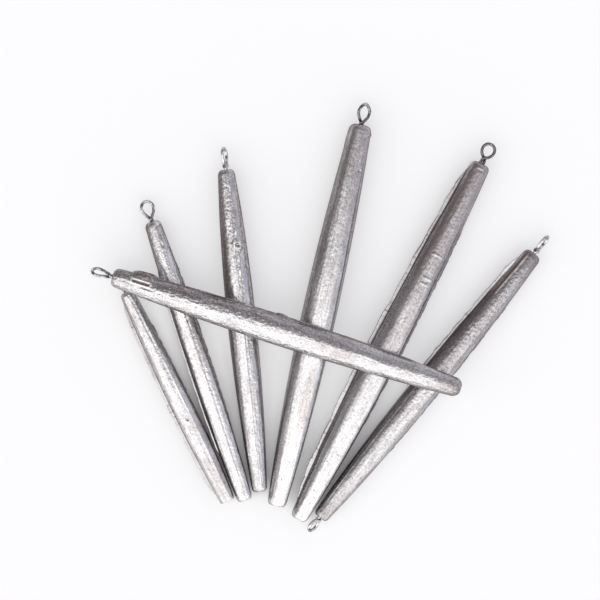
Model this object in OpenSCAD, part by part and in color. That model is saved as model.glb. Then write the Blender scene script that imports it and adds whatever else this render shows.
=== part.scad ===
// Seven cast lead pencil sinkers with bent wire eyes. Six lie side by side and fan out from
// their tails, and the seventh lies across them. Every sinker is a barrel shaped casting with
// the seam of its two-part mould, and a wire loop whose crossed legs are cast into its head.
// Sinker 6 has a second loop in its tail. Sizes are in millimetres, +Z is up, and +Y points
// the way the fan opens.

/* [Wire eyes] */
// Thickness of the wire
wire_d = 1.2; // [1:0.05:1.3]
// Width inside a loop
eye_w = 3.8; // [3.4:0.1:4.4]
// How far a head loop stands out of the casting
eye_h = 9.2; // [8:0.1:10]
// How far the tail loop of sinker 6 stands out of the casting
tail_eye_h = 7.2; // [6.5:0.1:8]
// Height above the casting at which the two legs cross
neck_h = 1.7; // [1.4:0.1:2]
// Length of the legs inside the casting
leg_l = 11; // [8:0.5:14]

/* [Castings] */
// Length of the rounded end at the head
head_round = 2.4; // [1.6:0.1:3]
// Thickness of the fin that the mould leaves along its seam
fin_t = 0.5; // [0.3:0.05:0.7]
// Width of the narrow fin on the hidden side of the seam
back_fin_w = 0.4; // [0.2:0.05:0.6]

/* [Sinker 1] */
// Length of the casting
length_1 = 93; // [88:0.5:98]
// Diameter at the belly
belly_d_1 = 8.8; // [8:0.1:9.2]
// Diameter at the head
head_d_1 = 5.8; // [5.4:0.1:6.4]
// Diameter at the tail
tail_d_1 = 6; // [5.4:0.1:6.6]
// Width of its seam fin
fin_w_1 = 1.3; // [0.8:0.1:1.6]
// Direction that its head points in
heading_1 = 115.9; // [114:0.1:120]

/* [Sinker 2] */
// Length of the casting
length_2 = 117.5; // [112:0.5:124]
// Diameter at the belly
belly_d_2 = 9.4; // [8.6:0.1:10]
// Diameter at the head
head_d_2 = 6.6; // [6:0.1:7.2]
// Diameter at the tail
tail_d_2 = 6.2; // [5.6:0.1:7]
// Width of its seam fin
fin_w_2 = 0.8; // [0.5:0.1:1.4]
// Direction that its head points in
heading_2 = 108.5; // [106.5:0.1:109.5]
// How far its tail lies above the tail of sinker 1
lag_2 = -2.8; // [-4:0.1:4]
// Gap between its tail and sinker 1
gap_2 = 0.5; // [0.4:0.05:2]

/* [Sinker 3] */
// Length of the casting
length_3 = 129.5; // [124:0.5:136]
// Diameter at the belly
belly_d_3 = 11.6; // [10.8:0.1:12.4]
// Diameter at the head
head_d_3 = 6.6; // [6:0.1:7.6]
// Diameter at the tail
tail_d_3 = 6; // [5.6:0.1:7]
// Height of its seam ridge
fin_w_3 = 0.2; // [0.1:0.05:0.25]
// Direction that its head points in
heading_3 = 96; // [94:0.1:98]
// How far its tail lies above the tail of sinker 2
lag_3 = 1.4; // [-4:0.1:4]
// Gap between its tail and sinker 2
gap_3 = 0.45; // [0.4:0.05:2]

/* [Sinker 4] */
// Length of the casting
length_4 = 156; // [150:0.5:162]
// Diameter at the belly
belly_d_4 = 13.8; // [13:0.1:14.6]
// Diameter at the head
head_d_4 = 8.6; // [7.8:0.1:9.4]
// Diameter at the tail
tail_d_4 = 7.4; // [6.8:0.1:8.4]
// Direction that its head points in
heading_4 = 77.4; // [75:0.1:80]
// How far its tail lies above the tail of sinker 3
lag_4 = -6.2; // [-8:0.1:4]
// Gap between its tail and sinker 3
gap_4 = 0.85; // [0.4:0.05:2]

/* [Sinker 5] */
// Length of the casting
length_5 = 160; // [154:0.5:166]
// Diameter at the belly
belly_d_5 = 13; // [12.2:0.1:14]
// Diameter at the head
head_d_5 = 8; // [7.2:0.1:8.8]
// Diameter at the tail
tail_d_5 = 6.8; // [6.2:0.1:8]
// Width of its seam fin
fin_w_5 = 1.4; // [0.8:0.1:1.6]
// Direction that its head points in
heading_5 = 62.7; // [60:0.1:65]
// How far its tail lies above the tail of sinker 4
lag_5 = -3.4; // [-6:0.1:4]
// Gap between its tail and sinker 4
gap_5 = 3.2; // [2:0.1:5]

/* [Sinker 6] */
// Length of the casting
length_6 = 136; // [130:0.5:142]
// Diameter at the belly
belly_d_6 = 11.4; // [10.4:0.1:12]
// Diameter at the head
head_d_6 = 7.4; // [6.6:0.1:8.2]
// Diameter at the tail
tail_d_6 = 6.2; // [5.6:0.1:7]
// Width of its seam fin
fin_w_6 = 1.5; // [0.8:0.1:1.8]
// Direction that its head points in
heading_6 = 50.9; // [49:0.1:52.5]
// How far its tail lies above the tail of sinker 5
lag_6 = 4.6; // [2:0.1:6]
// Gap between its tail and sinker 5
gap_6 = 0.5; // [0.4:0.05:2]

/* [Sinker 7, across the others] */
// Length of the casting
length_7 = 145.5; // [140:0.5:152]
// Diameter at the belly
belly_d_7 = 12.2; // [11.4:0.1:13]
// Diameter at the head
head_d_7 = 7.6; // [7:0.1:8.4]
// Diameter at the tail
tail_d_7 = 7.4; // [6.8:0.1:8.2]
// Width of its seam fin
fin_w_7 = 0.7; // [0.5:0.1:1.3]
// Direction that its head points in
heading_7 = 162.2; // [160:0.1:164]
// Distance from the tail of sinker 4 to where sinker 7 crosses it
cross_4 = 67.5; // [62:0.5:74]
// Distance from its own tail to that crossing
cross_7 = 61.5; // [56:0.5:66]
// Gap left over the sinkers that it rests on
rest_gap = 0.2; // [0.15:0.05:0.3]

/* [Hidden] */

// Facets round a casting, and steps along each taper and each rounded end
round_fn = 72;
taper_steps = 8;
end_steps = 4;
// Sides of the wire, and rings along one bend and one half of a loop
wire_sides = 10;
bend_rings = 5;
loop_rings = 14;

// Every list holds one entry for each sinker, from sinker 1 to sinker 7
length = [length_1, length_2, length_3, length_4, length_5, length_6, length_7];
belly_d = [belly_d_1, belly_d_2, belly_d_3, belly_d_4, belly_d_5, belly_d_6, belly_d_7];
head_d = [head_d_1, head_d_2, head_d_3, head_d_4, head_d_5, head_d_6, head_d_7];
tail_d = [tail_d_1, tail_d_2, tail_d_3, tail_d_4, tail_d_5, tail_d_6, tail_d_7];
fin_w = [fin_w_1, fin_w_2, fin_w_3, 0, fin_w_5, fin_w_6, fin_w_7];
heading = [heading_1, heading_2, heading_3, heading_4, heading_5, heading_6, heading_7];
lag = [0, lag_2, lag_3, lag_4, lag_5, lag_6];
gap = [0, gap_2, gap_3, gap_4, gap_5, gap_6];
// The one with a filling nub, the one crossed for measuring, the last in the fan, the top one
gated_index = 2;
crossed_index = 3;
fan_end_index = 5;
top_index = 6;

// Place of the belly from the tail, as a share of the length
belly_shares = [0.42, 0.49, 0.537, 0.5, 0.44, 0.5, 0.505];
// Flat left on each tail and on each head, and length of each tail's rounded end, all as
// shares of the diameter there
tail_flat_shares = [0.85, 0.65, 0.4, 0.65, 0.6, 0.6, 0.3];
tail_round_shares = [0.25, 0.5, 0.3, 0.5, 0.5, 0.35, 0.5];
head_flat_share = 0.5;
// Seam angle round each casting, from its top towards its right side, seen from the tail
seam_angle = [-82, -84, 16, 0, -82, -76, 80];
// Start and end of each fin, and of the narrow fins, as shares of the length from the tail
fin_start_shares = [0.03, 0.17, 0.1, 0, 0.04, 0.45, 0.12];
fin_end_shares = [0.96, 0.84, 0.9, 0, 0.97, 0.97, 0.9];
back_fin_shares = [0.25, 0.85];
// Share of a fin's width that comes and goes along it, and how often it does
ripple_share = 0.18;
ripples = 5;
fin_steps = 36;
// Angle of each loop round its casting, from flat, and of the tail loop
eye_turn = [0, 12, 70, 28, 0, 74, 58];
tail_eye_turn = 62;

// Clearance between the wire legs and the holes that the lead left round them
cast_gap = 0.02;
// Distance between the two legs, and length by which cuts overrun
leg_pitch = 1.12 * wire_d;
overrun = 1;

// Round nub on sinker 3 where the mould was filled, and the dimple in it
nub_d = 3.8;
nub_h = 0.25;
nub_from_head = 30.4;
dimple_d = 1.6;
dimple_deep = 0.6;
// Lump beside the head of sinker 7, and the slot beside it
lump_l = 8.4;
lump_d = 4.6;
lump_from_head = 11.8;
lump_out = 1.3;
slot_l = 7;
slot_w = 0.8;
slot_deep = 0.7;
slot_aside = 1.1;

// Radius of casting i at the distance z from its tail, before its ends are rounded
function barrel_r(i, z) =
    let (belly_z = belly_shares[i] * length[i])
    let (run = z < belly_z ? belly_z : length[i] - belly_z)
    let (end_d = z < belly_z ? tail_d[i] : head_d[i])
    let (away = (z - belly_z) / run)
    (belly_d[i] - (belly_d[i] - end_d) * away * away) / 2;

// Outline points of one rounded end, from its flat to full radius, z counted inwards
function end_points(full_r, flat_r, deep) =
    [for (k = [0:end_steps]) let (a = 90 * k / end_steps)
        [flat_r + (full_r - flat_r) * sin(a), deep * (1 - cos(a))]];

// Half outline of casting i, from its tail to its head
function outline(i) =
    let (tail_z = tail_round_shares[i] * tail_d[i], head_z = length[i] - head_round)
    let (belly_z = belly_shares[i] * length[i])
    let (tail_r = barrel_r(i, tail_z), head_r = barrel_r(i, head_z))
    let (tail = end_points(tail_r, tail_flat_shares[i] * tail_d[i] / 2, tail_z))
    let (head = end_points(head_r, head_flat_share * head_d[i] / 2, head_round))
    concat(
        [[0, 0]],
        tail,
        [for (k = [1:taper_steps]) let (z = tail_z + (belly_z - tail_z) * k / taper_steps)
            [barrel_r(i, z), z]],
        [for (k = [1:taper_steps - 1]) let (z = belly_z + (head_z - belly_z) * k / taper_steps)
            [barrel_r(i, z), z]],
        [for (k = [end_steps:-1:0]) [head[k][0], length[i] - head[k][1]]],
        [[0, length[i]]]);

// Unit vectors on the floor along casting i towards its head, and to its right
function along(i) = [cos(heading[i]), sin(heading[i])];
function aside(i) = [sin(heading[i]), -cos(heading[i])];

// How far casting i lies to the right of the one before it, at its tail
function side_step(i) =
    let (turn = heading[i - 1] - heading[i], back = max(0, -lag[i]))
    barrel_r(i - 1, max(0, lag[i])) + barrel_r(i, back / cos(turn)) + gap[i] - back * tan(turn);

// Place of each tail in the fan, counted from the tail of sinker 1
function fan_tail(i) =
    i == 0 ? [0, 0] : fan_tail(i - 1) + lag[i] * along(i - 1) + side_step(i) * aside(i - 1);

// Where sinker 7 crosses casting i: distance up casting i, and distance past sinker 4
crossing = fan_tail(crossed_index) + cross_4 * along(crossed_index);
function cross_up(i) =
    let (d = crossing - fan_tail(i), u = along(i), v = along(top_index))
    (d[0] * v[1] - d[1] * v[0]) / (u[0] * v[1] - u[1] * v[0]);
function cross_past(i) = (fan_tail(i) + cross_up(i) * along(i) - crossing) * along(top_index);
function is_under(i) =
    cross_up(i) > 0 && cross_up(i) < length[i] && abs(cross_past(i)) < length[top_index] / 2;

// Height that the axis of sinker 7 needs over casting i
function rest_z(i) =
    belly_d[i] / 2 + barrel_r(i, cross_up(i)) + barrel_r(top_index, cross_7 + cross_past(i)) + rest_gap;

// Sinker 7 rests on the pair, one on each side of its middle, that holds its middle highest
middle = length[top_index] / 2 - cross_7;
rests = [for (i = [0:fan_end_index]) for (j = [0:fan_end_index])
    if (is_under(i) && is_under(j) && cross_past(i) < middle && cross_past(j) > middle)
        let (slope = (rest_z(j) - rest_z(i)) / (cross_past(j) - cross_past(i)))
        [rest_z(i) + slope * (middle - cross_past(i)), slope]];
highest = max([for (r = rests) r[0]]);
slope = [for (r = rests) if (r[0] == highest) r[1]][0];
pitch = [0, 0, 0, 0, 0, 0, atan(slope)];
crossing_z = highest - slope * middle;

// Tail of casting i before the set is centred, with its height over the floor
function loose_tail(i) =
    i < top_index ? [fan_tail(i)[0], fan_tail(i)[1], belly_d[i] / 2]
    : [crossing[0] - cross_7 * cos(pitch[i]) * along(i)[0],
       crossing[1] - cross_7 * cos(pitch[i]) * along(i)[1],
       crossing_z - cross_7 * sin(pitch[i])];

// Centre line of an eye with the height h: one leg, the bend at its foot and half the loop
drop_peak = 4 / (3 * sqrt(3));
loop_r = (eye_w + wire_d) / 2 / drop_peak;
spread_share = 0.2;
function half_eye(h) = concat(
    [[-leg_pitch / 2, 0, -leg_l]],
    [for (k = [0:bend_rings - 1]) let (u = k / bend_rings, a = 90 * u * u)
        [-leg_pitch / 2 * cos(a), -leg_pitch / 2 * sin(a), neck_h * u]],
    [for (k = [0:loop_rings]) let (t = pow(k / loop_rings, 0.75), a = 180 * t)
        [loop_r * sin(a) * sin(a / 2),
         k < loop_rings ? -leg_pitch / 2 / (1 + pow(t / spread_share, 4)) : 0,
         neck_h + (h - wire_d / 2 - neck_h) * (1 - cos(a)) / 2]]);

// Whole centre line: the second half is the first one turned half round the axis
function eye_line(h) =
    let (half = half_eye(h), n = len(half))
    concat(half, [for (k = [n - 2:-1:0]) [-half[k][0], -half[k][1], half[k][2]]]);

// A point given up from, right of and along casting i, in the frame of the loose set
function placed(i, p) =
    let (c = cos(pitch[i]), s = sin(pitch[i]), u = along(i), r = aside(i))
    loose_tail(i) + p[2] * [c * u[0], c * u[1], s] + p[0] * [-s * u[0], -s * u[1], c]
        + p[1] * [r[0], r[1], 0];
function turned(p, a) = [p[0] * cos(a) - p[1] * sin(a), p[0] * sin(a) + p[1] * cos(a), p[2]];

// Outermost points of the whole set, which give the centre of its floor space
reach = concat(
    [for (i = [0:top_index]) for (q = outline(i)) for (side = [-1, 1]) placed(i, [0, side * q[0], q[1]])],
    [for (i = [0:top_index]) for (q = eye_line(eye_h)) for (side = [-1, 1])
        placed(i, turned(q, eye_turn[i] + 90) + [0, side * wire_d / 2, length[i]])],
    [for (i = [0:top_index]) placed(i, [0, 0, length[i] + eye_h])],
    [placed(fan_end_index, [0, 0, -tail_eye_h])]);
set_centre = [for (k = [0, 1]) (min([for (p = reach) p[k]]) + max([for (p = reach) p[k]])) / 2];

// Puts a casting, drawn upright on its tail, at its place in the set. Its +X turns up
module lay(i) {
    translate([-set_centre[0], -set_centre[1], 0])
        translate(loose_tail(i))
            rotate([0, -pitch[i], heading[i]])
                rotate([0, 90, 0])
                    rotate([0, 0, 180])
                        children();
}

// A fin along the seam on one side of casting i, w wide, between two shares of its length
module fin(i, w, from_share, to_share) {
    from = from_share * length[i];
    to = to_share * length[i];
    edge = [for (k = [0:fin_steps])
        let (u = k / fin_steps, z = from + (to - from) * u)
        let (swell = min(1, 6 * sin(180 * u)))
        let (ripple = sin(360 * ripples * u + 60 * i) + sin(360 * 2.3 * ripples * u))
        [barrel_r(i, z) + w * swell * (1 - ripple_share * (1 - ripple / 2)), z]];
    rotate([90, 0, 0])
        linear_extrude(fin_t, center = true)
            polygon(concat([[0, from]], edge, [[0, to]]));
}

// The two holes that the legs of an eye fill, from the end of the casting inwards
module leg_holes() {
    for (side = [-1, 1])
        translate([side * leg_pitch / 2, 0, -leg_l - cast_gap])
            cylinder(h = leg_l + cast_gap + overrun, d = wire_d + 2 * cast_gap, $fn = 32);
}

// Body of casting i: the barrel and the fins of its seam
module casting(i) {
    rotate_extrude($fn = round_fn)
        polygon(outline(i));
    if (fin_w[i] > 0) {
        rotate([0, 0, seam_angle[i]])
            fin(i, fin_w[i], fin_start_shares[i], fin_end_shares[i]);
        if (fin_w[i] > back_fin_w)
            rotate([0, 0, seam_angle[i] + 180])
                fin(i, back_fin_w, back_fin_shares[0], back_fin_shares[1]);
    }
}

// Where the mould of sinker 3 was filled: a low round nub on its seam
module nub() {
    z = length[gated_index] - nub_from_head;
    rotate([0, 0, seam_angle[gated_index]])
        translate([0, 0, z])
            rotate([0, 90, 0])
                cylinder(h = barrel_r(gated_index, z) + nub_h, d = nub_d, $fn = 40);
}

module dimple() {
    z = length[gated_index] - nub_from_head;
    rotate([0, 0, seam_angle[gated_index]])
        translate([barrel_r(gated_index, z) + nub_h - dimple_deep, 0, z])
            rotate([0, 90, 0])
                cylinder(h = dimple_deep + overrun, d = dimple_d, $fn = 32);
}

// The lump where metal ran out of the mould of sinker 7, drawn as a short barrel
module lump() {
    z = length[top_index] - lump_from_head;
    rotate([0, 0, seam_angle[top_index]])
        translate([barrel_r(top_index, z) + lump_out - lump_d / 2, 0, z - lump_l / 2])
            rotate_extrude($fn = 40)
                polygon([for (k = [0:end_steps * 2]) let (a = 180 * k / (end_steps * 2))
                    [lump_d / 2 * sin(a), lump_l * (1 - cos(a)) / 2]]);
}

module slot() {
    z = length[top_index] - lump_from_head;
    translate([barrel_r(top_index, z) - slot_deep, slot_aside - slot_w / 2, z - slot_l / 2])
        cube([slot_deep + overrun, slot_w, slot_l]);
}

// Wire of an eye with the height h, as one tube swept along its centre line
module wire_eye(h) {
    line = eye_line(h);
    n = len(line);
    rings = [for (k = [0:n - 1])
        let (d = line[min(k + 1, n - 1)] - line[max(k - 1, 0)], t = d / norm(d))
        let (across = [0, 1, 0] - t[1] * t, v = across / norm(across), w = cross(t, v))
        for (s = [0:wire_sides - 1]) let (a = 360 * s / wire_sides)
            line[k] + wire_d / 2 * (cos(a) * v + sin(a) * w)];
    m = wire_sides;
    walls = [for (k = [0:n - 2]) for (s = [0:m - 1])
        let (a = k * m + s, b = k * m + (s + 1) % m)
        for (f = [[a, b + m, b], [a, a + m, b + m]]) f];
    ends = [[for (s = [0:m - 1]) s], [for (s = [m - 1:-1:0]) (n - 1) * m + s]];
    polyhedron(points = rings, faces = concat(walls, ends));
}

// Places what stands out of the head of sinker i, and out of the tail of sinker 6
module at_head(i) {
    translate([0, 0, length[i]])
        rotate([0, 0, eye_turn[i] + 90])
            children();
}

module at_tail() {
    rotate([180, 0, tail_eye_turn + 90])
        children();
}

// Lead of sinker i, with the holes that its wires fill
module lead(i) {
    color("slategray")
        lay(i)
            difference() {
                union() {
                    casting(i);
                    if (i == gated_index)
                        nub();
                    if (i == top_index)
                        lump();
                }
                at_head(i)
                    leg_holes();
                if (i == gated_index)
                    dimple();
                if (i == fan_end_index)
                    at_tail()
                        leg_holes();
                if (i == top_index)
                    slot();
            }
}

// Wire eye in the head of sinker i
module head_eye(i) {
    color("silver")
        lay(i)
            at_head(i)
                wire_eye(eye_h);
}

// Wire eye in the tail of sinker 6
module tail_eye() {
    color("silver")
        lay(fan_end_index)
            at_tail()
                wire_eye(tail_eye_h);
}

lead(0);  // sinker_1_lead
head_eye(0);  // sinker_1_eye
lead(1);  // sinker_2_lead
head_eye(1);  // sinker_2_eye
lead(2);  // sinker_3_lead
head_eye(2);  // sinker_3_eye
lead(3);  // sinker_4_lead
head_eye(3);  // sinker_4_eye
lead(4);  // sinker_5_lead
head_eye(4);  // sinker_5_eye
lead(5);  // sinker_6_lead
head_eye(5);  // sinker_6_eye
tail_eye();  // sinker_6_tail_eye
lead(6);  // sinker_7_lead
head_eye(6);  // sinker_7_eye
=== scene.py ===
"""Looks of seven cast lead sinkers with bent wire eyes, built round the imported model.

Six sinkers lie on a pale table and fan out from their tails, and the seventh lies across them.
Lengths are in metres, written as millimetres times mm. +Z is up, and +Y points the way the fan
opens, which is up in the picture.
"""

import math

import bmesh
import bpy
import numpy as np
from mathutils import Matrix, Vector


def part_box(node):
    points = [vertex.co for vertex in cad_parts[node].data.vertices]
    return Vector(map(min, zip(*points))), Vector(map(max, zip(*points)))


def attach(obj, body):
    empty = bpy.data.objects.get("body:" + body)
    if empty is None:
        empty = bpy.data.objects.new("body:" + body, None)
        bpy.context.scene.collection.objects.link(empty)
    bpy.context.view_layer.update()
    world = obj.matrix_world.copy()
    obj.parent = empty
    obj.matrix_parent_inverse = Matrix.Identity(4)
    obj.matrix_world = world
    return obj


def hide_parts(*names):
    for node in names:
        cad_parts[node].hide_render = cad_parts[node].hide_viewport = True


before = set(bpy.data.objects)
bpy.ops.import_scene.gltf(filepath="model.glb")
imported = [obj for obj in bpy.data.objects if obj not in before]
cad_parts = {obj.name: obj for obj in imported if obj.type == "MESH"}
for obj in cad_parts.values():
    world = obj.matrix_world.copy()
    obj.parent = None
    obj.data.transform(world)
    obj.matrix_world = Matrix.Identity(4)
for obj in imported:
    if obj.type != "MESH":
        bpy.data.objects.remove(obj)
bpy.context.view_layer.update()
mm = 0.001

# Wire eyes. Each is one length of bright drawn steel wire, bent round a peg to a loop. Its two
# legs cross once above the casting and run down into the lead, which is cast round them.
# Sinker 6 has a second, shorter eye in its tail.
wire_d = 1.2 * mm
eye_w = 3.8 * mm
eye_h = 9.2 * mm
tail_eye_h = 7.08 * mm
tail_eye_turn = 118
leg_l = 11 * mm
leg_pitch = 1.12 * wire_d
spread_share = 0.2
spread_power = 4
wire_sides = 20
bend_rings = 12
loop_rings = 44
loop_step_power = 0.75
scratch_depth = 0.05 * mm
wire_bright = (0.78, 0.77, 0.765, 1)
wire_dark = (0.17, 0.163, 0.165, 1)
wire_rim = (0.3, 0.29, 0.29, 1)


def lie(node):
    """Where a casting lies, and its length: local +Z runs from its tail, and local +X points up.

    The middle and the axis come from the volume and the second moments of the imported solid.
    """
    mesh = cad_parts[node].data
    mesh.calc_loop_triangles()
    points = np.array([v.co for v in mesh.vertices], float)
    corners = points[np.array([t.vertices for t in mesh.loop_triangles])]
    parts = np.einsum("ij,ij->i", corners[:, 0], np.cross(corners[:, 1], corners[:, 2])) / 6
    centre = (parts[:, None] * corners.sum(1)).sum(0) / (4 * parts.sum())
    arms = corners - centre
    parts = np.einsum("ij,ij->i", arms[:, 0], np.cross(arms[:, 1], arms[:, 2])) / 6
    total = arms.sum(1)
    moments = np.einsum("i,ikj,ikl->jl", parts, arms, arms)
    moments = moments + np.einsum("i,ij,il->jl", parts, total, total)
    axis = np.linalg.eigh(moments)[1][:, -1]
    eye = np.array(sum(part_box(node.replace("lead", "eye")), Vector())) / 2
    axis = axis if axis @ (eye - centre) > 0 else -axis
    reach = (points - centre) @ axis
    along = Vector(axis)
    right = along.cross(Vector((0, 0, 1))).normalized()
    up = right.cross(along)
    turn = Matrix((up, right, along)).transposed().to_4x4()
    tail = Vector(centre) + float(reach.min()) * along
    return Matrix.Translation(tail) @ turn, float(np.ptp(reach))


class Field:
    """A value in a node tree, so that a formula can be written out, as in belly * (1 - away)."""

    def __init__(self, tree, socket):
        self.tree = tree
        self.socket = socket

    def math(self, operation, *others):
        node = self.tree.nodes.new("ShaderNodeMath")
        node.operation = operation
        for socket, value in zip(node.inputs, (self, *others)):
            put(self.tree, value, socket)
        return Field(self.tree, node.outputs[0])

    def __add__(self, other):
        return self.math("ADD", other)

    def __sub__(self, other):
        return self.math("SUBTRACT", other)

    def __rsub__(self, other):
        return self * -1 + other

    def __neg__(self):
        return self * -1

    def __mul__(self, other):
        return self.math("MULTIPLY", other)

    def __truediv__(self, other):
        return self.math("DIVIDE", other)

    def __rtruediv__(self, other):
        return self.math("POWER", -1) * other

    def ramp(self, low, high, bottom=0.0, top=1.0, soft=False):
        """Goes from bottom to top while the value goes from low to high, and stays there."""
        node = self.tree.nodes.new("ShaderNodeMapRange")
        node.interpolation_type = "SMOOTHSTEP" if soft else "LINEAR"
        for socket, value in zip(node.inputs, (self, low, high, bottom, top)):
            put(self.tree, value, socket)
        return Field(self.tree, node.outputs[0])


def put(tree, value, socket):
    """Links a field to a socket, or sets the socket to a plain value."""
    if isinstance(value, Field):
        tree.links.new(value.socket, socket)
    else:
        socket.default_value = value


def add(tree, kind, output=0, settings=None, **inputs):
    """Adds a node, sets it up and returns one of its outputs. An input's _ stands for a space."""
    node = tree.nodes.new(kind)
    for name, value in (settings or {}).items():
        setattr(node, name, value)
    for name, value in inputs.items():
        put(tree, value, node.inputs[name.replace("_", " ")])
    return Field(tree, node.outputs[output])


def split(tree, vector):
    """The three parts of a vector field."""
    node = tree.nodes.new("ShaderNodeSeparateXYZ")
    put(tree, vector, node.inputs[0])
    return [Field(tree, output) for output in node.outputs]


def merge(tree, x, y, z):
    """A vector field of three parts."""
    return add(tree, "ShaderNodeCombineXYZ", X=x, Y=y, Z=z)


def noise(tree, vector, scale, detail=2.0, roughness=0.5):
    """Noise from 0 to 1 with about scale ups and downs for each unit of the vector."""
    return add(tree, "ShaderNodeTexNoise", Vector=vector, Scale=scale, Detail=detail,
               Roughness=roughness)


def store(tree, geometry, name, value, kind="FLOAT"):
    """Keeps a field on the points of a geometry, under the name that its material reads."""
    return add(tree, "GeometryNodeStoreNamedAttribute", 0, {"data_type": kind},
               Geometry=geometry, Name=name, Value=value)


def stored(tree, name, output="Fac"):
    """Reads in a material what store has kept."""
    return add(tree, "ShaderNodeAttribute", output, {"attribute_name": name})


def new_tree(name, sizes):
    """A geometry tree with one named float input for each size, and those inputs as fields."""
    tree = bpy.data.node_groups.new(name, "GeometryNodeTree")
    tree.interface.new_socket(name="Geometry", in_out="INPUT", socket_type="NodeSocketGeometry")
    for size in sizes:
        tree.interface.new_socket(name=size, in_out="INPUT", socket_type="NodeSocketFloat")
    tree.interface.new_socket(name="Geometry", in_out="OUTPUT", socket_type="NodeSocketGeometry")
    entry = tree.nodes.new("NodeGroupInput")
    return tree, {output.name: Field(tree, output) for output in entry.outputs if output.name}


def close_tree(tree, geometry, finish):
    """Ends a geometry tree: smooth faces, no instances, and its material."""
    smooth = add(tree, "GeometryNodeSetShadeSmooth", Geometry=geometry)
    real = add(tree, "GeometryNodeRealizeInstances", Geometry=smooth)
    painted = add(tree, "GeometryNodeSetMaterial", Geometry=real, Material=finish)
    put(tree, painted, tree.nodes.new("NodeGroupOutput").inputs[0])


def grow(name, tree, sizes, start=None):
    """Runs a geometry tree with these sizes and returns the result as a plain mesh."""
    holder = bpy.data.objects.new(name, start or bpy.data.meshes.new(name))
    bpy.context.scene.collection.objects.link(holder)
    modifier = holder.modifiers.new("form", "NODES")
    modifier.node_group = tree
    for item in tree.interface.items_tree:
        if item.in_out == "INPUT" and item.name in sizes:
            modifier[item.identifier] = sizes[item.name]
    shaped = holder.evaluated_get(bpy.context.evaluated_depsgraph_get())
    mesh = bpy.data.meshes.new_from_object(shaped)
    bpy.data.objects.remove(holder)
    return mesh


def dress(name, mesh, place, body, node):
    """Puts a finished mesh in its place, and lets it ride on its body instead of a CAD node."""
    mesh.transform(place)
    shell = bmesh.new()
    shell.from_mesh(mesh)
    bmesh.ops.recalc_face_normals(shell, faces=shell.faces)
    shell.to_mesh(mesh)
    shell.free()
    mesh.name = name
    piece = bpy.data.objects.new(name, mesh)
    bpy.context.scene.collection.objects.link(piece)
    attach(piece, body)
    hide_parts(node)


def shader(name):
    """A new material, its node tree and its main shader node."""
    material = bpy.data.materials.new(name)
    material.use_nodes = True
    return material, material.node_tree, material.node_tree.nodes["Principled BSDF"]


def mixed(tree, factor, first, second):
    """A colour between two others."""
    node = tree.nodes.new("ShaderNodeMix")
    node.data_type = "RGBA"
    put(tree, factor, node.inputs["Factor"])
    put(tree, first, node.inputs[6])
    put(tree, second, node.inputs[7])
    return Field(tree, node.outputs[2])


def wire_finish():
    """Bright drawn steel: fine lines along the wire, with duller rubbed stretches."""
    material, tree, body = shader("drawn_wire")
    x, y, _ = split(tree, stored(tree, "across", "Vector"))
    along = stored(tree, "along")

    # Lines are drawn out along the wire, rubs are as long as they are wide
    lines = noise(tree, merge(tree, x, y, along * 0.06), 6.0, 3.0, 0.6)
    rubs = noise(tree, merge(tree, x, y, along), 0.7, 3.0)
    tone = (lines * 0.4 + rubs * 0.6 - stored(tree, "dull") * 0.2).ramp(0.4, 0.54)
    put(tree, mixed(tree, tone, wire_dark, wire_bright), body.inputs["Base Color"])
    put(tree, rubs.ramp(0.3, 0.7, 0.12, 0.26), body.inputs["Roughness"])
    bump = add(tree, "ShaderNodeBump", Strength=0.25, Distance=scratch_depth, Height=lines)
    put(tree, bump, body.inputs["Normal"])
    body.inputs["Metallic"].default_value = 1
    body.inputs["Specular Tint"].default_value = wire_rim
    return material


def wire_tree(finish):
    """Sweeps a round wire along the edges of a mesh. Across and along are in millimetres."""
    tree, at = new_tree("bent_wire", ["Wire Diameter", "Dullness"])
    line = add(tree, "GeometryNodeMeshToCurve", Mesh=at["Geometry"])
    line = store(tree, line, "dull", at["Dullness"])
    line = store(tree, line, "along", add(tree, "GeometryNodeSplineParameter", "Length") / mm)
    rim = add(tree, "GeometryNodeCurvePrimitiveCircle", Resolution=wire_sides,
              Radius=at["Wire Diameter"] / 2)
    spot = add(tree, "ShaderNodeVectorMath", 0, {"operation": "SCALE"},
               Vector=add(tree, "GeometryNodeInputPosition"), Scale=1 / mm)
    rim = store(tree, rim, "across", spot, "FLOAT_VECTOR")
    wire = add(tree, "GeometryNodeCurveToMesh", Curve=line, Profile_Curve=rim, Fill_Caps=True)
    close_tree(tree, wire, finish)
    return tree


def eye_line(height, neck, drop, point):
    """Centre line of an eye from one leg to the other, upright, with its foot at the origin.

    The second half is the first one turned half round, so that the legs cross, at the height of
    the neck. The higher the drop, the higher up the loop is widest, and the higher the point, the
    sharper its ends are.
    """
    steepest = math.atan(math.sqrt((point + drop) / point))
    widest = math.sin(2 * steepest) ** point * math.sin(steepest) ** drop
    loop_r = (eye_w + wire_d) / 2 / widest
    half = [(-leg_pitch / 2, 0, -leg_l)]

    # From the leg up to the neck, a quarter of the way round the axis
    for k in range(bend_rings):
        u = k / bend_rings
        a = math.pi / 2 * u * u
        half.append((-leg_pitch / 2 * math.cos(a), -leg_pitch / 2 * math.sin(a), neck * u))

    # Up one side of the loop, in larger steps of its angle near the neck, where it rises slowly
    for k in range(loop_rings):
        t = (k / loop_rings) ** loop_step_power
        a = math.pi * t
        aside = leg_pitch / 2 / (1 + (t / spread_share) ** spread_power)
        rise = (height - wire_d / 2 - neck) * (1 - math.cos(a)) / 2
        half.append((loop_r * math.sin(a) ** point * math.sin(a / 2) ** drop, -aside, neck + rise))
    return half + [(0, 0, height - wire_d / 2)] + [(-x, -y, z) for x, y, z in reversed(half)]


wire = wire_tree(wire_finish())


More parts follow.
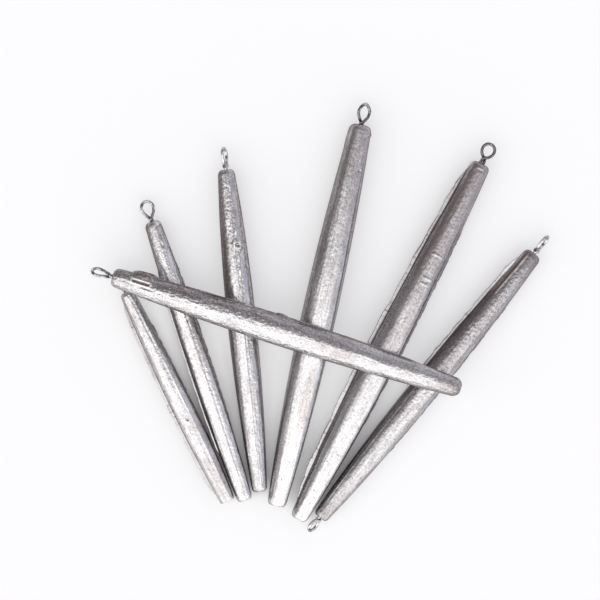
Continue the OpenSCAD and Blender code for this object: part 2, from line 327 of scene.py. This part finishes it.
def bend_eye(name, place, turn, body, neck, drop, point, dullness, height=eye_h):
    """One wire eye, bent from its line and set on its casting. At a turn of 0 it lies flat."""
    line = eye_line(height, neck, drop, point)
    path = bpy.data.meshes.new(name)
    path.from_pydata(line, [(k, k + 1) for k in range(len(line) - 1)], [])
    mesh = grow(name, wire, {"Wire Diameter": wire_d, "Dullness": dullness}, path)
    twist = Matrix.Rotation(math.radians(turn + 90), 4, "Z")
    dress(name + "_wire", mesh, place @ twist, body, name)


# Each eye: how far it is turned about its casting, its neck, its drop, its point and its dullness
eyes = {
    1: (0, 1.7 * mm, 1, 1, 0.2),
    2: (18, 1.4 * mm, 0.8, 1.3, 0.2),
    3: (72, 1.4 * mm, 0.7, 1, 0),
    4: (30, 1.2 * mm, 0.2, 1.6, 0.5),
    5: (0, 2.7 * mm, 0.25, 1, 1),
    6: (74, 1.4 * mm, 0.8, 1, 0),
    7: (58, 1.7 * mm, 0.7, 1, 0.3),
}
for number, (turn, neck, drop, point, dullness) in eyes.items():
    tail, length = lie(f"sinker_{number}_lead")
    head = tail @ Matrix.Translation((0, 0, length))
    bend_eye(f"sinker_{number}_eye", head, turn, f"sinker_{number}", neck, drop, point, dullness)

# The tail eye is turned end over end, so that it points away from the tail
tail, length = lie("sinker_6_lead")
tail_end = tail @ Matrix.Rotation(math.pi, 4, "X")
bend_eye("sinker_6_tail_eye", tail_end, tail_eye_turn, "sinker_6", neck=1.3 * mm, drop=0.1,
         point=0.7, dullness=0, height=tail_eye_h)

# Lead castings. Each is poured in a two-part mould: a long barrel that tapers to a small head
# and tail, with thin flash along the seam. The skin is grainy where the mould was cold, streaked
# along the flow, and dull in patches under a brownish film. Painted shade, painted glints and
# painted highlights are also part of the colour of the lead.
head_round = 2.4 * mm
head_flat_share = 0.5
fin_t = 0.5 * mm
fin_foot_share = 0.62
fin_top_share = 0.42
fin_bare_share = 0.76
narrow_fin_w = 0.3 * mm
wide_fin_w = 0.9 * mm
fin_fullness = 6
back_fin_w = 0.4 * mm
back_fin_from = 0.25
back_fin_to = 0.85
ripple_share = 0.18
ripples = 5
second_ripples = 2.3 * ripples
crease_foot = 0.4 * mm
crease_near = 0.6 * mm
crease_far = 1.2 * mm
crease_edge = 2.2 * mm
grain_depth = 0.06 * mm
ridge_depth = 0.09 * mm
deepest_grain = 1.6
grain_bump = 0.03 * mm
dent_bump = 0.16 * mm
flow_bump = 0.1 * mm
columns = 168
crowd_share = 0.82
rows = 440
tail_flat_v = 0.012
tail_bend_v = 0.035
head_bend_v = 0.965
head_flat_v = 0.985
weld = 0.001 * mm
own_gap = 200
lead_clean_and_highlight = (0.93, 0.92, 0.91, 1)
lead_dull = (0.4, 0.388, 0.398, 1)
lead_film = (0.37, 0.305, 0.298, 1)
lead_shade_and_oxide = (0.206, 0.173, 0.174, 1)
lead_pit = (0.12, 0.11, 0.115, 1)
lead_discolour_and_shade = (0.3, 0.19, 0.165, 1)
lead_rim = (0.4, 0.38, 0.385, 1)
lead_flash = (0.52, 0.51, 0.515, 1)


def lead_finish():
    """Bare cast lead. The attribute cast is each casting's own place in millimetres, +Z along it."""
    material, tree, body = shader("cast_lead")
    cast = stored(tree, "cast", "Vector")
    flash, discolour_shade_and_highlight, film_and_shade, rough, shade_and_oxide = [
        stored(tree, name) for name in ("flash", "discolour_shade_and_highlight", "film_and_shade", "rough", "shade_and_oxide")]
    x, y, z = split(tree, cast)

    # A share of z draws a noise out along the casting, and an added number gives it its own place
    grain = noise(tree, cast, 1.3, 4.0, 0.75)
    flow = noise(tree, merge(tree, x, y, z * 0.1), 1.0, 4.0, 0.65)
    blotches = noise(tree, merge(tree, x, y, z * 0.7 + 40), 0.4, 3.0, 0.65)
    patches = noise(tree, cast, 0.09, 3.0, 0.6)
    film = noise(tree, merge(tree, x, y, z * 0.4 + 70), 0.13, 3.0, 0.6)
    specks = noise(tree, merge(tree, x + 31, y, z * 0.6), 1.3, 2.0, 0.6)
    painted_glints = noise(tree, merge(tree, x, y + 57, z * 0.8), 1.5, 2.0, 0.7)
    dents = noise(tree, merge(tree, x, y + 23, z * 0.8), 0.9, 2.0, 0.45)

    # From clean to dull lead, and over it film, painted shade mixed with tarnished lead, painted
    # glints, flash, pits and the single marks with their stains, painted shade and painted
    # highlights
    streaks = flow.ramp(0.38, 0.62)
    speckle = grain.ramp(0.36, 0.64)
    # Dull lead at random, and darker towards the head as painted shade mixed with a brownish film
    dull = streaks * 0.27 + speckle * 0.46 + blotches.ramp(0.35, 0.65) * 0.2
    dull = dull + patches.ramp(0.35, 0.65) * 0.12 + film_and_shade * 0.25
    colour = mixed(tree, dull, lead_clean_and_highlight, lead_dull)
    # Brownish film, a little stronger towards the head as painted shade
    colour = mixed(tree, (film + film_and_shade * 0.1).ramp(0.54, 0.68) * 0.4, colour, lead_film)
    # Painted shade away from the lit side, beside the fin and at the ends, mixed with tarnished lead
    colour = mixed(tree, shade_and_oxide * (streaks * 0.35 + speckle * 0.6 + 0.3), colour, lead_shade_and_oxide)
    # Painted glints: specks brightened towards clean lead where the skin is rough
    colour = mixed(tree, painted_glints.ramp(0.6, 0.74) * rough * 0.35, colour, lead_clean_and_highlight)
    colour = mixed(tree, flash * 0.75, colour, lead_flash)
    colour = mixed(tree, specks.ramp(0.62, 0.72) * 0.65, colour, lead_pit)
    # The marks' tints: brown stains, painted shade in two grooves, and painted highlights below 0
    colour = mixed(tree, discolour_shade_and_highlight, colour, lead_discolour_and_shade)
    colour = mixed(tree, -discolour_shade_and_highlight, colour, lead_clean_and_highlight)
    put(tree, colour, body.inputs["Base Color"])
    put(tree, dull * 0.08 + grain * 0.14 + shade_and_oxide * 0.14 + 0.08, body.inputs["Roughness"])

    # Relief too fine for the mesh: grain, the dents of a cold mould, and lines along the flow
    bump = add(tree, "ShaderNodeBump", Strength=1.0, Distance=grain_bump, Height=grain)
    bump = add(tree, "ShaderNodeBump", Strength=1.0, Distance=dent_bump, Height=dents * rough,
               Normal=bump)
    bump = add(tree, "ShaderNodeBump", Strength=1.0, Distance=flow_bump, Height=flow, Normal=bump)
    put(tree, bump, body.inputs["Normal"])
    body.inputs["Metallic"].default_value = 1
    body.inputs["Specular Tint"].default_value = lead_rim
    return material


def run_out(share):
    """How full a fin is, from 0 to 1, along its own length. It runs out at both ends."""
    return ((share * math.pi).math("SINE") * fin_fullness).math("MINIMUM", 1)


def casting_tree(finish, marks):
    """A closed casting, from a grid whose columns run round it and whose rows run along it.

    Columns are crowded at the seam and opposite it, where the flash stands. Each mark is a dent
    or lump: its distance from the head, its angle from the top towards the right side, its half
    length, its half width, its height, how square it is, and its tint. Above 0 the tint stains the
    lead brown, as painted shade in the grooves of sinkers 2 and 6, and below 0 it brightens the
    lead as a painted highlight.
    """
    tree, at = new_tree("casting", [
        "Length", "Belly", "Head", "Tail", "Belly Share", "Tail Flat Share", "Tail Round", "Seam",
        "Fin", "Fin Start Share", "Fin End Share", "Number", "Film And Shade", "Tail Film And Shade",
        "Rough Side", "Lit Side", "Side Shade And Oxide", "Head Darkening", "Tail Darkening", "Right Square",
        "Coarse"])
    grid = add(tree, "GeometryNodeMeshGrid", Size_X=1, Size_Y=1,
               Vertices_X=columns + 1, Vertices_Y=rows + 1)

    # Round the casting u goes from 0 to 1, and along it from the tail v does
    u, v, _ = split(tree, add(tree, "GeometryNodeInputPosition"))
    u = u + 0.5
    v = v + 0.5
    turn = (u - (u * (4 * math.pi)).math("SINE") * (crowd_share / (4 * math.pi))) * (2 * math.pi)
    angle = turn + at["Seam"]

    # Rows: flat tail, rounded end, barrel, rounded end, flat head
    length = at["Length"]
    belly_z = length * at["Belly Share"]
    tail_flat = v.ramp(0, tail_flat_v)
    tail_bend = v.ramp(tail_flat_v, tail_bend_v) * (math.pi / 2)
    head_bend = v.ramp(head_flat_v, head_bend_v) * (math.pi / 2)
    head_flat = v.ramp(1, head_flat_v)
    tail_z = at["Tail Round"]
    head_z = length - head_round
    barrel_z = tail_z + (head_z - tail_z) * v.ramp(tail_bend_v, head_bend_v)
    z = barrel_z - tail_z * tail_bend.math("COSINE") + head_bend.math("COSINE") * head_round
    along = z / length

    # The barrel swells to its belly along one parabola on each side of it
    before = barrel_z.math("LESS_THAN", belly_z)
    run = before * belly_z + (1 - before) * (length - belly_z)
    end_d = before * at["Tail"] + (1 - before) * at["Head"]
    away = (barrel_z - belly_z) / run
    barrel = (at["Belly"] - (at["Belly"] - end_d) * away * away) / 2
    tail_share = at["Tail Flat Share"]
    tail_end = tail_flat * tail_share + tail_bend.math("SINE") * (1 - tail_share)
    head_end = head_flat * head_flat_share + head_bend.math("SINE") * (1 - head_flat_share)
    ends = tail_end * head_end

    # The right side is squarer than a round one, most of all at the tail: |x|^n + |y|^n = 1
    tailwards = along.ramp(0.35, 0.7, 1, 0.35)
    on_right = angle.math("SINE").math("GREATER_THAN", 0)
    square = on_right * (at["Right Square"] - 2) * tailwards + 2
    squared = angle.math("COSINE").math("ABSOLUTE").math("POWER", square)
    squared = squared + angle.math("SINE").math("ABSOLUTE").math("POWER", square)
    radius = barrel * ends * squared.math("POWER", -1 / square)

    # Each casting's own place in millimetres, far from that of the others, so none looks alike
    own_x = radius * angle.math("COSINE") / mm
    own_y = radius * angle.math("SINE") / mm
    own_z = z / mm + at["Number"] * own_gap
    own = merge(tree, own_x, own_y, own_z)
    torn = noise(tree, own, 0.35, 3.0, 0.6)

    # Flash on both sides of the seam: a thin plate with a wandering, ragged edge
    aside = (radius * turn.math("SINE")).math("ABSOLUTE")
    plate = aside.ramp(fin_t * fin_foot_share, fin_t * fin_top_share, soft=True)
    front = turn.math("COSINE").ramp(-0.1, 0.1)
    share = (along - at["Fin Start Share"]) / (at["Fin End Share"] - at["Fin Start Share"])
    swell = run_out(share.ramp(0, 1))
    phase = at["Number"] * (math.pi / 3) - math.pi / 3
    ripple = (share * (2 * math.pi * ripples) + phase).math("SINE")
    ripple = ripple + (share * (2 * math.pi * second_ripples)).math("SINE")
    fin = at["Fin"] * swell * (1 - (1 - ripple / 2) * ripple_share) * torn.ramp(0.3, 0.5, 0.8, 1)
    back_fin = run_out(along.ramp(back_fin_from, back_fin_to)) * back_fin_w
    back_fin = back_fin * at["Fin"].math("GREATER_THAN", back_fin_w) * torn.ramp(0.35, 0.6)
    flash = plate * (front * fin + (1 - front) * back_fin)

    # Cast skin: grain and faint flow ridges, both cut inwards, coarser on one side
    headwards = along.ramp(0.3, 0.7, 0.45, 1)
    rough = (angle - at["Rough Side"]).math("COSINE").ramp(-0.6, 0.8, 0.45, 1.6, soft=True)
    rough = rough * headwards * at["Coarse"]
    grain = noise(tree, own, 0.75, 4.0, 0.65).ramp(0.35, 0.7) * grain_depth
    ridges = noise(tree, merge(tree, own_x, own_y, own_z * 0.03), 0.8, 2.0)
    ridges = ridges.ramp(0.35, 0.65) * ridge_depth
    skin = (grain * rough.math("MINIMUM", deepest_grain) + ridges) * ends

    # Where the lead is painted darker: towards the head as painted shade mixed with a brownish film,
    # away from the side that faces the light as painted shade mixed with tarnished lead, in the
    # crease beside the fin as painted shade, and at its ends
    film_and_shade = along.ramp(0.4, 0.85, at["Tail Film And Shade"], at["Film And Shade"], soft=True)
    light_facing = (angle - at["Lit Side"]).math("COSINE") + torn * 0.3 + grain * 4 / mm
    shade_and_oxide = light_facing.ramp(1.06, 0.86) * light_facing.ramp(-0.6, 0.2, 0.4, 1) * at["Side Shade And Oxide"] * headwards
    has_fin = at["Fin"].ramp(narrow_fin_w, wide_fin_w)
    # Painted shade in the crease between the barrel and the fin
    crease = aside.ramp(crease_foot, crease_near) * aside.ramp(crease_edge, crease_far)
    crease = crease * front * swell * along.ramp(0.3, 0.6, 0.3, 1)
    shade_and_oxide = shade_and_oxide.math("MAXIMUM", crease * has_fin * 0.6)
    # Painted darker at the head and tail ends
    darker_ends = along.ramp(0.88, 0.99) * at["Head Darkening"]
    darker_ends = darker_ends + along.ramp(0.12, 0.01) * at["Tail Darkening"]
    shade_and_oxide = shade_and_oxide.math("MAXIMUM", darker_ends)
    bare = aside.ramp(fin_t, fin_t * fin_bare_share) * front * swell * has_fin

    # Marks that only this casting has, with stains, painted shade and painted highlights in their
    # tints
    lumps = z * 0
    discolour_shade_and_highlight = z * 0
    for from_head, mark_angle, half_long, half_wide, high, mark_square, tint in marks:
        across = angle - math.radians(mark_angle)
        facing = across.math("COSINE").ramp(0, 0.2)
        reach = ((length - z - from_head) / half_long).math("ABSOLUTE").math("POWER", mark_square)
        sideways = (barrel * across.math("SINE") / half_wide).math("ABSOLUTE")
        reach = reach + sideways.math("POWER", mark_square)
        bump = reach.ramp(1, 0, soft=True) * facing
        lumps = lumps + bump * high
        discolour_shade_and_highlight = discolour_shade_and_highlight + bump * tint

    # The attributes are stored while the grid is still flat, because its place gives u and v
    grid = store(tree, grid, "cast", own, "FLOAT_VECTOR")
    for name, value in (("flash", bare), ("discolour_shade_and_highlight", discolour_shade_and_highlight), ("film_and_shade", film_and_shade), ("rough", rough),
                        ("shade_and_oxide", shade_and_oxide)):
        grid = store(tree, grid, name, value)
    out = radius + flash + lumps - skin
    shaped = add(tree, "GeometryNodeSetPosition", Geometry=grid,
                 Position=merge(tree, out * angle.math("COSINE"), out * angle.math("SINE"), z))
    closed = add(tree, "GeometryNodeMergeByDistance", Geometry=shaped, Distance=weld)
    close_tree(tree, closed, finish)
    return tree


lead = lead_finish()


def cast(number, belly, head, tail, belly_share, tail_flat_share, tail_round, seam,
         fin=0, fin_from=0, fin_to=1, film_and_shade=0, tail_film_and_shade=0, rough_side=0, lit_side=0,
         shade_and_oxide=0, head_darkening=0, tail_darkening=0, right_square=2, coarse=1, marks=()):
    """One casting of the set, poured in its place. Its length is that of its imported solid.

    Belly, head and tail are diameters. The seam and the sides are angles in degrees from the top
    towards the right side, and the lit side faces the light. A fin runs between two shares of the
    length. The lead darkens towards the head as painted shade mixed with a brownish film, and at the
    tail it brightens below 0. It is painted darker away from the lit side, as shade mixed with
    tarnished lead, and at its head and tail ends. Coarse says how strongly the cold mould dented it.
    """
    name = f"sinker_{number}_lead"
    place, length = lie(name)
    sizes = {
        "Length": length, "Belly": belly, "Head": head, "Tail": tail, "Belly Share": belly_share,
        "Tail Flat Share": tail_flat_share, "Tail Round": tail_round, "Seam": math.radians(seam),
        "Fin": fin, "Fin Start Share": fin_from, "Fin End Share": fin_to, "Number": number,
        "Film And Shade": film_and_shade, "Tail Film And Shade": tail_film_and_shade, "Rough Side": math.radians(rough_side),
        "Lit Side": math.radians(lit_side), "Side Shade And Oxide": shade_and_oxide,
        "Head Darkening": head_darkening, "Tail Darkening": tail_darkening, "Right Square": right_square,
        "Coarse": coarse,
    }
    mesh = grow(name, casting_tree(lead, marks), sizes)
    dress(name.replace("lead", "casting"), mesh, place, f"sinker_{number}", name)


# Sinker 1: a pit on top, and a long ridge that the mould left
cast(1, belly=8.8 * mm, head=5.8 * mm, tail=6 * mm, belly_share=0.42, tail_flat_share=0.85,
     tail_round=1.5 * mm, seam=-82, fin=1.3 * mm, fin_from=0.03, fin_to=0.96, film_and_shade=0.1,
     tail_film_and_shade=0.1, rough_side=60, lit_side=10, shade_and_oxide=0.5, tail_darkening=0.1,
     right_square=4, coarse=0.7, marks=[
         (56 * mm, 0, 1.5 * mm, 1.2 * mm, -0.25 * mm, 2, 0.3),
         (48 * mm, 24, 44 * mm, 0.4 * mm, 0.14 * mm, 6, 0),
     ])

# Sinker 2: a groove across the head, darkened as painted shade, with a painted highlight on its
# lip, and a long ridge
cast(2, belly=9.4 * mm, head=6.6 * mm, tail=6.2 * mm, belly_share=0.49, tail_flat_share=0.65,
     tail_round=3.1 * mm, seam=-84, fin=0.8 * mm, fin_from=0.17, fin_to=0.84, film_and_shade=0.4,
     tail_film_and_shade=-0.1, rough_side=55, lit_side=10, shade_and_oxide=1, head_darkening=0.3,
     tail_darkening=0.1, right_square=4, coarse=1.2, marks=[
         (2.6 * mm, 36, 0.6 * mm, 1.7 * mm, -0.45 * mm, 2, 0.5),
         (1.4 * mm, 40, 0.8 * mm, 2.2 * mm, 0.1 * mm, 2, -0.6),
         (60 * mm, 6, 56 * mm, 0.4 * mm, 0.12 * mm, 6, 0),
     ])

# Sinker 3: the filling nub with its stained dimple and two edges, painted highlights on the nub,
# its edges and the pieces of the broken seam ridge, and a long ridge
cast(3, belly=11.6 * mm, head=6.6 * mm, tail=6 * mm, belly_share=0.537, tail_flat_share=0.4,
     tail_round=1.8 * mm, seam=16, fin=0.2 * mm, fin_from=0.02, fin_to=0.95, film_and_shade=0.6,
     tail_film_and_shade=0.2, rough_side=45, lit_side=18, shade_and_oxide=1.2, head_darkening=0.3,
     right_square=3, coarse=1, marks=[
         (30.4 * mm, 17, 2.5 * mm, 2.5 * mm, 0.6 * mm, 2.4, -0.2),
         (30.4 * mm, 17, 1 * mm, 1 * mm, -0.9 * mm, 2, 0.5),
         (28.9 * mm, 4, 0.9 * mm, 0.9 * mm, 0.25 * mm, 2, -0.6),
         (32 * mm, 26, 0.9 * mm, 0.9 * mm, 0.25 * mm, 2, -0.6),
         (25 * mm, 16, 1.8 * mm, 0.6 * mm, 0.35 * mm, 2, -1),
         (35.5 * mm, 16, 2.2 * mm, 0.6 * mm, 0.35 * mm, 2, -1),
         (41 * mm, 15, 1.8 * mm, 0.6 * mm, 0.3 * mm, 2, -1),
         (66 * mm, 3, 62 * mm, 0.35 * mm, 0.14 * mm, 6, 0),
     ])

# Sinker 4: a brownish patch, a deep pit, a ridge at the head, and a lump on each side of it
cast(4, belly=13.8 * mm, head=8.6 * mm, tail=7.4 * mm, belly_share=0.5, tail_flat_share=0.65,
     tail_round=3.7 * mm, seam=0, film_and_shade=0.9, tail_film_and_shade=-0.3, rough_side=-40, lit_side=20,
     shade_and_oxide=0.7, head_darkening=0.35, right_square=4.5, coarse=0.4, marks=[
         (112 * mm, 22, 17 * mm, 2.8 * mm, 0, 2, 0.3),
         (18.4 * mm, 34, 0.7 * mm, 0.6 * mm, -1.0 * mm, 2, 0.3),
         (9.5 * mm, 32, 9 * mm, 0.4 * mm, 0.2 * mm, 4, 0),
         (3.2 * mm, 84, 1.1 * mm, 1.6 * mm, 0.35 * mm, 2, 0),
         (5.5 * mm, -86, 5 * mm, 1.2 * mm, 0.25 * mm, 2, 0),
     ])

# Sinker 5: a brownish strip, a nick and a lump at the head, and three ridges across the barrel,
# with painted highlights on the lump and the ridges
cast(5, belly=13 * mm, head=8 * mm, tail=6.8 * mm, belly_share=0.44, tail_flat_share=0.6,
     tail_round=3.4 * mm, seam=-82, fin=1.7 * mm, fin_from=0.04, fin_to=0.98, film_and_shade=1.7,
     tail_film_and_shade=-0.1, rough_side=0, lit_side=30, shade_and_oxide=0.6, head_darkening=0.3,
     right_square=4.5, coarse=0.45, marks=[
         (34 * mm, -27, 27 * mm, 1.4 * mm, 0, 3, 0.25),
         (2.8 * mm, 10, 0.5 * mm, 1.6 * mm, -0.25 * mm, 2, 0),
         (1.6 * mm, -80, 2.2 * mm, 1.6 * mm, 0.15 * mm, 2, -0.9),
         (41 * mm, 8, 0.4 * mm, 3 * mm, 0.2 * mm, 2, -0.5),
         (51 * mm, 16, 0.5 * mm, 2.4 * mm, 0.25 * mm, 2, -0.3),
         (53.5 * mm, 12, 0.5 * mm, 2 * mm, 0.25 * mm, 2, -0.3),
     ])

# Sinker 6: along the head a ridge with a painted highlight, a groove darkened as painted shade and
# a strip with a painted highlight, and a ridge towards the tail
cast(6, belly=11.4 * mm, head=7.4 * mm, tail=6.2 * mm, belly_share=0.5, tail_flat_share=0.6,
     tail_round=2.17 * mm, seam=-76, fin=1.5 * mm, fin_from=0.45, fin_to=0.97, film_and_shade=1.7,
     tail_film_and_shade=0.7, rough_side=30, lit_side=30, shade_and_oxide=1.1, head_darkening=0.8,
     tail_darkening=0.5, right_square=3, coarse=0.9, marks=[
         (12 * mm, -28, 11 * mm, 0.4 * mm, 0.2 * mm, 6, -0.6),
         (12 * mm, -42, 12 * mm, 0.5 * mm, -0.25 * mm, 6, 0.6),
         (12 * mm, -66, 12 * mm, 1.2 * mm, 0, 4, -0.4),
         (100 * mm, -38, 32 * mm, 0.4 * mm, 0.2 * mm, 6, 0),
     ])

# Sinker 7: the lump beside the head, a lump towards the tail and the rim of the slot with painted
# highlights, the stained slot, a scratch beside it, and two burrs at the seam, one with a painted
# highlight
cast(7, belly=12.2 * mm, head=7.6 * mm, tail=7.4 * mm, belly_share=0.505, tail_flat_share=0.3,
     tail_round=3.7 * mm, seam=80, fin=0.35 * mm, fin_from=0.12, fin_to=0.9, film_and_shade=0.3,
     tail_film_and_shade=0.3, rough_side=-20, lit_side=-33, shade_and_oxide=1, head_darkening=0.3,
     tail_darkening=0.8, right_square=2, coarse=2, marks=[
         (12.4 * mm, 80, 6.2 * mm, 3.4 * mm, 1.4 * mm, 2.6, 0),
         (114 * mm, -6, 3 * mm, 0.9 * mm, 0.1 * mm, 2, -0.8),
         (11.8 * mm, 14, 4.9 * mm, 1.5 * mm, 0.4 * mm, 6, -1),
         (11.8 * mm, 15, 3.9 * mm, 0.7 * mm, -1.0 * mm, 8, 2),
         (14 * mm, -8, 4 * mm, 0.4 * mm, -0.4 * mm, 2, 0.3),
         (55 * mm, 74, 2 * mm, 0.5 * mm, 0.3 * mm, 2, -0.5),
         (69 * mm, 80, 3 * mm, 0.6 * mm, 0.5 * mm, 2, 0),
     ])

# Table, light and camera. The sinkers lie on white paper, near a large window on the tail side. A
# cooler, weaker light comes low from the right, and the rest of the room is dimmer. To the camera
# and in reflections the paper glows white by its own emission, which ambient occlusion fades close
# to a sinker as a painted shadow.
table_w = 8.0
paper = (0.56, 0.557, 0.563, 1)
paper_lift = 0.4
lift_reach = 10 * mm
window_at = Vector((-0.25, -0.75, 0.6)).normalized()
window_light = (1.66, 1.645, 1.65, 1)
window_edge = 0.34
window_full = 0.7
side_at = Vector((0.95, 0.32, 0.02)).normalized()
side_light = (0.78, 0.78, 0.88, 1)
side_edge = -0.08
side_full = 0.92
room = (0.33, 0.312, 0.322, 1)
picture_w = 240 * mm
picture_middle = Vector((-8.2 * mm, 6.8 * mm, 6 * mm))
lens = 250
sensor_w = 36

side = table_w / 2
table = bpy.data.meshes.new("table")
table.from_pydata([(-side, -side, 0), (side, -side, 0), (side, side, 0), (-side, side, 0)], [],
                  [(0, 1, 2, 3)])
table_top = bpy.data.objects.new("table", table)
bpy.context.scene.collection.objects.link(table_top)
material, tree, body = shader("paper")
body.inputs["Base Color"].default_value = paper
body.inputs["Roughness"].default_value = 0.9
body.inputs["Specular IOR Level"].default_value = 0.2
rays = tree.nodes.new("ShaderNodeLightPath").outputs
seen = Field(tree, rays["Is Camera Ray"]) + Field(tree, rays["Is Glossy Ray"])
# Emission makes the paper glow white, and ambient occlusion fades it near a sinker into a painted
# shadow
open_share = add(tree, "ShaderNodeAmbientOcclusion", 1, {"samples": 8}, Distance=lift_reach)
open_share = open_share.ramp(0.18, 0.5)
body.inputs["Emission Color"].default_value = (1, 1, 1, 1)
put(tree, seen * open_share * paper_lift, body.inputs["Emission Strength"])
table.materials.append(material)

world = bpy.data.worlds.new("room")
bpy.context.scene.world = world
world.use_nodes = True
tree = world.node_tree
looking = tree.nodes.new("ShaderNodeTexCoord").outputs["Generated"]
glow = room
for at, light, edge, full in ((side_at, side_light, side_edge, side_full),
                              (window_at, window_light, window_edge, window_full)):
    facing = tree.nodes.new("ShaderNodeVectorMath")
    facing.operation = "DOT_PRODUCT"
    facing.inputs[1].default_value = at
    tree.links.new(looking, facing.inputs[0])
    share = Field(tree, facing.outputs["Value"]).ramp(edge, full, soft=True)
    glow = mixed(tree, share, glow, light)
put(tree, glow, tree.nodes["Background"].inputs["Color"])

lens_data = bpy.data.cameras.new("camera")
lens_data.lens = lens
lens_data.sensor_width = sensor_w
lens_data.clip_start = 10 * mm
lens_data.clip_end = 20
camera = bpy.data.objects.new("camera", lens_data)
camera.location = picture_middle + Vector((0, 0, picture_w * lens / sensor_w))
bpy.context.scene.collection.objects.link(camera)
bpy.context.scene.camera = camera
bpy.context.scene.view_settings.view_transform = "Standard"
